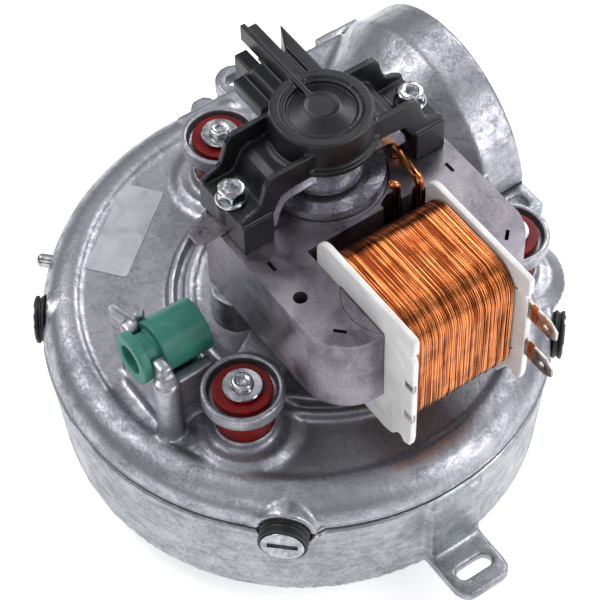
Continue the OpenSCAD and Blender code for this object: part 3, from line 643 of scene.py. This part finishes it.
def sheets(node, name, seed, gap=0.014, jitter=0.008):
    """Separate sheets cut from the node's top face."""
    lo, hi = mm_box(node)
    bm = bmesh.new()
    bm.from_mesh(CAD[node].data)
    bmesh.ops.remove_doubles(bm, verts=bm.verts, dist=1e-6)
    top = hi.z * MM
    drop = [f for f in bm.faces if any(abs(v.co.z - top) > 1e-5 for v in f.verts)]
    bmesh.ops.delete(bm, geom=drop, context="FACES")
    loose = [v for v in bm.verts if not v.link_faces]
    bmesh.ops.delete(bm, geom=loose, context="VERTS")
    flat = bpy.data.meshes.new("flat")
    bm.to_mesh(flat)
    bm.free()
    rng = random.Random(seed)
    count = round((hi.z - lo.z) / 0.5)
    thick = (hi.z - lo.z) / count
    out = bmesh.new()
    for k in range(count):
        one = bmesh.new()
        one.from_mesh(flat)
        for v in one.verts:
            v.co.z = (lo.z + thick * (k + 1)) * MM
        solid = bmesh.ops.extrude_face_region(one, geom=one.faces[:])
        moved = [g for g in solid["geom"] if isinstance(g, bmesh.types.BMVert)]
        for v in moved:
            v.co.z = (lo.z + thick * k + gap) * MM
        bmesh.ops.recalc_face_normals(one, faces=one.faces)
        if 0 < k < count - 1:
            push = Vector((rng.uniform(-1, 1), rng.uniform(-1, 1), 0)) * jitter * MM
            bmesh.ops.translate(one, verts=one.verts, vec=push)
        part = bpy.data.meshes.new("part")
        one.to_mesh(part)
        one.free()
        out.from_mesh(part)
        bpy.data.meshes.remove(part)
    mesh = bpy.data.meshes.new(name)
    out.to_mesh(mesh)
    out.free()
    obj = link(name, mesh, False)
    dress(obj, node)
    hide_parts(node)
    return obj


sheets("stator_laminations", "stator_sheets", 3)
sheets("coil_core", "core_sheets", 5)


# ---------- shading rings, leads and terminals ----------

def shading():
    """Thick bent wires in the notches of the poles."""
    lo, hi = mm_box("stator_laminations")
    pieces = []
    for turn in (0, math.pi):
        spin = Matrix.Rotation(turn, 3, "Z")
        a, b = spin @ Vector((5.8, 18.9, 0)), spin @ Vector((19.2, 16.9, 0))
        path = [(a.x, a.y, lo.z - 3.6), (a.x, a.y, hi.z + 3.7),
                (b.x, b.y, hi.z + 4.1), (b.x, b.y, lo.z - 3.6)]
        pieces.append(tube("ring", bent_path(path, 2.0, 8, True), 1.2, 14, True))
        a, b = spin @ Vector((16.9, 8.7, 0)), spin @ Vector((18.15, 10.3, 0))
        path = [(a.x, a.y, hi.z + 6), (b.x, b.y, hi.z + 6), (b.x, b.y, lo.z - 6), (a.x, a.y, lo.z - 6)]
        pieces.append(tube("hook", bent_path(path, 1.0, 6), 1.15, 14))
    obj = joined(pieces, "shading_wires")
    dress(obj, "shading_rings")
    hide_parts("shading_rings")


shading()


def leads():
    """The wire ends: a lead along the flange and tight turns on each tab."""
    pieces = []
    lo, hi = mm_box("coil_terminals")
    y = (lo.y + hi.y) / 2
    for z, side in ((73.3, -1), (88.7, 1)):
        r = 0.17
        pts = []
        for i in range(5 * 20 + 1):
            t = i / 20
            a = TAU * t
            # an oval that hugs the narrow section of the tab
            pts.append((65.9 + 0.42 * t, y + 0.68 * math.cos(a), z + 3.42 * math.sin(a)))
        pieces.append(tube("wrap", pts, r, 6))
        start = Vector(pts[0])
        path = [(start.x, start.y, start.z), (65.2, y + 1.1, z + 1.2 * side),
                (62.2, y + 0.9, z + 3.6 * side), (59.6, 15.2, z + 5.2 * side)]
        pieces.append(tube("lead", bent_path(path, 1.5, 6), r, 6))
    obj = joined(pieces, "coil_wire_ends")
    dress(obj, "coil_leads")
    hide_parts("coil_leads")


leads()


def flat_plate(name, outline, holes, thick, place, bevel=0.12):
    """A flat sheet part: outline and round holes in millimetres, with soft edges."""
    curve = bpy.data.curves.new(name, "CURVE")
    curve.dimensions = "2D"
    curve.fill_mode = "BOTH"
    curve.extrude = (thick / 2 - bevel) * MM
    curve.bevel_depth = bevel * MM
    curve.bevel_resolution = 2
    curve.offset = -bevel * MM
    loops = [outline] + [[(x + r * math.cos(TAU * k / 28), y + r * math.sin(TAU * k / 28))
                          for k in range(28)] for x, y, r in holes]
    for pts in loops:
        spline = curve.splines.new("POLY")
        spline.points.add(len(pts) - 1)
        for point, (x, y) in zip(spline.points, pts):
            point.co = (x * MM, y * MM, 0, 1)
        spline.use_cyclic_u = True
    temp = bpy.data.objects.new(name, curve)
    bpy.context.scene.collection.objects.link(temp)
    graph = bpy.context.evaluated_depsgraph_get()
    mesh = bpy.data.meshes.new_from_object(temp.evaluated_get(graph))
    bpy.data.objects.remove(temp)
    bm = bmesh.new()
    bm.from_mesh(mesh)
    bmesh.ops.remove_doubles(bm, verts=bm.verts, dist=1e-7)
    bmesh.ops.recalc_face_normals(bm, faces=bm.faces)
    bm.to_mesh(mesh)
    bm.free()
    mesh.transform(place)
    return link(name, mesh, False)


def upright(y, z):
    """Turns a flat plate so that its Y points up, at y and z in millimetres."""
    return Matrix.Translation((0, y * MM, z * MM)) @ Matrix.Rotation(math.pi / 2, 4, "X")


def terminals():
    """The two spade tabs, and two stubs in the other flange."""
    lo, hi = mm_box("coil_terminals")
    pieces = []
    for z in (73.3, 88.7):
        outline = rounded([(56.2, -3.15), (72.6, -3.15), (75.2, -1.5), (75.2, 1.5),
                           (72.6, 3.15), (56.2, 3.15)], 0.5, 3)
        place = upright((lo.y + hi.y) / 2, z)
        pieces.append(flat_plate("tab", outline, [(71.4, 0, 0.9)], hi.y - lo.y, place, 0.16))
    for z in (67.7, 80.3):  # stubs
        outline = rounded([(59.8, -1.1), (62.9, -1.1), (62.9, 1.1), (59.8, 1.1)], 0.3, 2)
        pieces.append(flat_plate("stub", outline, [], 0.7, upright(-17.35, z), 0.12))
    obj = joined(pieces, "spade_tabs")
    dress(obj, "coil_terminals")
    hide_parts("coil_terminals")


terminals()


def tower_blade():
    """The thin flaring blade beside the notch of the tap tower."""
    foot = 39
    outline = rounded([(3.2, foot), (0.6, 55), (0, 66.4), (0.8, 67.4), (8, 66.2), (8, foot)], 0.5, 3)
    place = (Matrix.Translation((-12.8 * MM, -60.2 * MM, 0)) @ Matrix.Rotation(math.radians(20), 4, "Z")
             @ Matrix.Rotation(math.pi / 2, 4, "X") @ Matrix.Translation((0, 0, -0.75 * MM)))
    blade = flat_plate("tower_blade", outline, [], 1.6, place, 0.4)
    dress(blade, "upper_casing")
    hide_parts("upper_casing")


tower_blade()


def earth():
    """The earth tab: a ring under the near stack screw and a blade with a small hole."""
    lo, hi = mm_box("earth_tab")
    cx, cy, r = 0, -27.9, 4.4
    outline = [(cx + r * math.cos(a), cy + r * math.sin(a))
               for a in [math.radians(-44 + k * 268 / 24) for k in range(25)]]
    outline += rounded([(-4.5, -31), (-4.5, -38.2), (-3.0, -39.6),
                        (0.3, -39.6), (1.8, -38.2), (1.8, -31.2)], 0.3, 2, False)
    place = Matrix.Translation((0, 0, (lo.z + hi.z) / 2 * MM))
    holes = [(cx, cy, 2.2), (-1.35, -36.4, 0.85)]
    obj = flat_plate("earth_blade", outline, holes, hi.z - lo.z, place, 0.14)
    dress(obj, "earth_tab")
    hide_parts("earth_tab")


earth()


def label():
    """A plain foil label with rounded corners and no print."""
    lo, hi = mm_box("plate_label")
    outline = rounded([(-16.2, -6.2), (16.2, -6.2), (16.2, 6.2), (-16.2, 6.2)], 1.3, 5)
    centre = (lo + hi) / 2
    place = Matrix.Translation(centre * MM) @ Matrix.Rotation(math.radians(-51.8), 4, "Z")
    obj = flat_plate("foil_label", outline, [], hi.z - lo.z, place, 0.05)
    dress(obj, "plate_label")
    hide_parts("plate_label")


label()


# ---------- screws ----------

def torx(a, r):
    """Radius at angle a of a six-lobe socket."""
    return r * (0.86 + 0.14 * math.cos(6 * a))


def screw_head(name, rings, turns=72):
    """A head from rings: (height, radius function of the angle)."""
    verts, faces = [], []
    for z, shape in rings:
        for k in range(turns):
            a = TAU * k / turns
            r = shape(a)
            verts.append(Vector((r * math.cos(a), r * math.sin(a), z)) * MM)
    for i in range(len(rings) - 1):
        for k in range(turns):
            m = (k + 1) % turns
            faces.append((i * turns + k, i * turns + m, (i + 1) * turns + m, (i + 1) * turns + k))
    faces.append(tuple(range(turns))[::-1])
    faces.append(tuple((len(rings) - 1) * turns + k for k in range(turns)))
    return from_data(name, verts, faces)


def screw_stem(z0, z1):
    """A plain M4 shank with a small chamfer at its end."""
    return revolve("stem", [(0.01, z0), (1.7, z0), (2, z0 + 0.6), (2, z1), (0.01, z1)], turns=28)


def hexagon(flat):
    """Radius function of a hexagon with the given half width across flats."""
    def shape(a):
        b = (a + math.pi / 6) % (math.pi / 3) - math.pi / 6
        return flat / math.cos(b)
    return shape


def circle(r):
    return lambda a: r


def least(f, r):
    return lambda a: min(f(a), r)


def sharp(obj, degrees=35):
    """Splits the shading at edges sharper than the given angle."""
    bm = bmesh.new()
    bm.from_mesh(obj.data)
    limit = math.radians(degrees)
    for e in bm.edges:
        if len(e.link_faces) == 2 and e.calc_face_angle(0) > limit:
            e.smooth = False
    bm.to_mesh(obj.data)
    bm.free()
    return obj


def motor_screws():
    """The two long screws: flanged hexagon heads with a six-lobe socket."""
    pieces = []
    nut = hexagon(3.38)
    for y in (27.9, -27.9):
        head = screw_head("head", [
            (100.6, circle(2.0)), (100.6, circle(4.1)), (100.7, circle(4.3)), (101.1, circle(4.3)),
            (101.45, circle(4.1)), (101.8, least(nut, 3.8)), (102.1, nut), (103.9, nut),
            (104.35, least(nut, 3.62)), (104.7, least(nut, 3.3)), (104.8, circle(2.9)),
            (104.8, circle(2.45)), (104.6, circle(2.25)), (104.55, lambda a: torx(a, 1.75)),
            (103.4, lambda a: torx(a, 1.6)), (103.25, circle(0.3))])
        stem = screw_stem(55, 100.9)
        for o in (head, stem):
            o.data.transform(Matrix.Translation((0, y * MM, 0)))
            pieces.append(o)
    obj = joined(pieces, "stack_screws")
    sharp(obj)
    dress(obj, "motor_screws")
    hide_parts("motor_screws")


motor_screws()


def mount_screws():
    """The three mount screws: a wide washer and a small head with a six-lobe socket."""
    lo = mm_box("mount_screws")[0]
    pieces = []
    for angle in (-60, 60, 180):
        a = math.radians(angle)
        at = Matrix.Translation((50.4 * MM * math.cos(a), 50.4 * MM * math.sin(a), 0))
        head = screw_head("head", [
            (60.6, circle(2.0)), (60.6, circle(5.1)), (60.72, circle(5.3)), (61.3, circle(5.3)),
            (61.55, circle(5.1)), (61.58, circle(3.15)), (61.8, circle(2.98)), (62.9, circle(2.9)),
            (63.3, circle(2.7)), (63.5, circle(2.4)), (63.5, circle(2.05)), (63.3, circle(1.8)),
            (63.25, lambda t: torx(t, 1.55)), (62.3, lambda t: torx(t, 1.4)), (62.15, circle(0.3))])
        stem = screw_stem(lo.z, 60.8)
        for o in (head, stem):
            o.data.transform(at @ Matrix.Rotation(0.4 * angle, 4, "Z"))
            pieces.append(o)
    obj = joined(pieces, "mount_bolts")
    sharp(obj)
    dress(obj, "mount_screws")
    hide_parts("mount_screws")


mount_screws()


# ---------- the CAD nodes that stay ----------

for name, obj in CAD.items():
    if not obj.hide_render:
        obj.data.materials.clear()
        obj.data.materials.append(MATS[SLOT[name]])


# ---------- floor, light and camera ----------

def floor():
    size = 3.0
    z = cad_lo.z - 0.0005
    mesh = bpy.data.meshes.new("floor")
    corners = [(-size, -size, z), (size, -size, z), (size, size, z), (-size, size, z)]
    mesh.from_pydata(corners, [], [(0, 1, 2, 3)])
    obj = link("floor", mesh, False)
    s = Shader("floor", Roughness=0.9)
    s.bsdf.inputs["Emission Color"].default_value = (1, 1, 1, 1)
    s.bsdf.inputs["Emission Strength"].default_value = 0.5
    tone = s.ramp(s.noise(3, 2), [(0.3, (0.90, 0.90, 0.90)), (0.7, (0.93, 0.93, 0.93))])
    mesh.materials.append(s.done(tone))


floor()


def lamp(name, place, size, power):
    """A soft area light that points at the middle of the fan."""
    target = (0, 0, 0.06)
    data = bpy.data.lights.new(name, "AREA")
    data.shape = "RECTANGLE"
    data.size, data.size_y = size
    data.energy = power
    obj = bpy.data.objects.new(name, data)
    bpy.context.scene.collection.objects.link(obj)
    obj.location = place
    obj.rotation_euler = (Vector(target) - Vector(place)).to_track_quat("-Z", "Y").to_euler()
    return obj


lamp("key", (-0.55, -0.34, 0.85), (0.55, 0.55), 4.0)
lamp("back", (-0.27, 0.75, 0.75), (0.8, 0.4), 5.2)
lamp("right", (0.80, 0.50, 0.50), (0.55, 0.8), 5.5)
lamp("front", (0.35, -0.75, 0.55), (0.6, 0.35), 0.9)

world = bpy.data.worlds.new("studio")
bpy.context.scene.world = world
world.use_nodes = True
wt = world.node_tree
background = wt.nodes["Background"]
direction = wt.nodes.new("ShaderNodeTexCoord").outputs["Generated"]
split = wt.nodes.new("ShaderNodeSeparateXYZ")
wt.links.new(direction, split.inputs[0])
sky = wt.nodes.new("ShaderNodeValToRGB")
sky.color_ramp.elements[0].position = 0.0
sky.color_ramp.elements[0].color = (0.10, 0.10, 0.12, 1)
sky.color_ramp.elements[1].position = 0.9
sky.color_ramp.elements[1].color = (0.9, 0.9, 0.92, 1)
wt.links.new(split.outputs["Z"], sky.inputs["Fac"])
# a camera that looks over the floor's edge sees the same pale tone as the floor
rays = wt.nodes.new("ShaderNodeLightPath")
pale = wt.nodes.new("ShaderNodeMix")
pale.data_type = "RGBA"
pale.inputs[7].default_value = (1.6, 1.6, 1.6, 1)
wt.links.new(rays.outputs["Is Camera Ray"], pale.inputs[0])
wt.links.new(sky.outputs["Color"], pale.inputs[6])
wt.links.new(pale.outputs[2], background.inputs["Color"])
background.inputs["Strength"].default_value = 0.6

camera = bpy.data.cameras.new("camera")
camera.sensor_width = 36
camera.lens = 134.66
view_from = bpy.data.objects.new("camera", camera)
bpy.context.scene.collection.objects.link(view_from)
bpy.context.scene.camera = view_from
place, target = Vector((0.3128, -0.2166, 0.5311)), Vector((0.00638, -0.01248, 0.0536))
back = (place - target).normalized()
level = Vector((0, 0, 1)).cross(back).normalized()
rise = back.cross(level)
roll = math.radians(-1.73)
right = level * math.cos(roll) + rise * math.sin(roll)
up = rise * math.cos(roll) - level * math.sin(roll)
turn = Matrix((right, up, back)).transposed().to_4x4()
view_from.matrix_world = Matrix.Translation(place) @ turn
camera.clip_start, camera.clip_end = 0.01, 20
bpy.context.scene.view_settings.view_transform = "Standard"
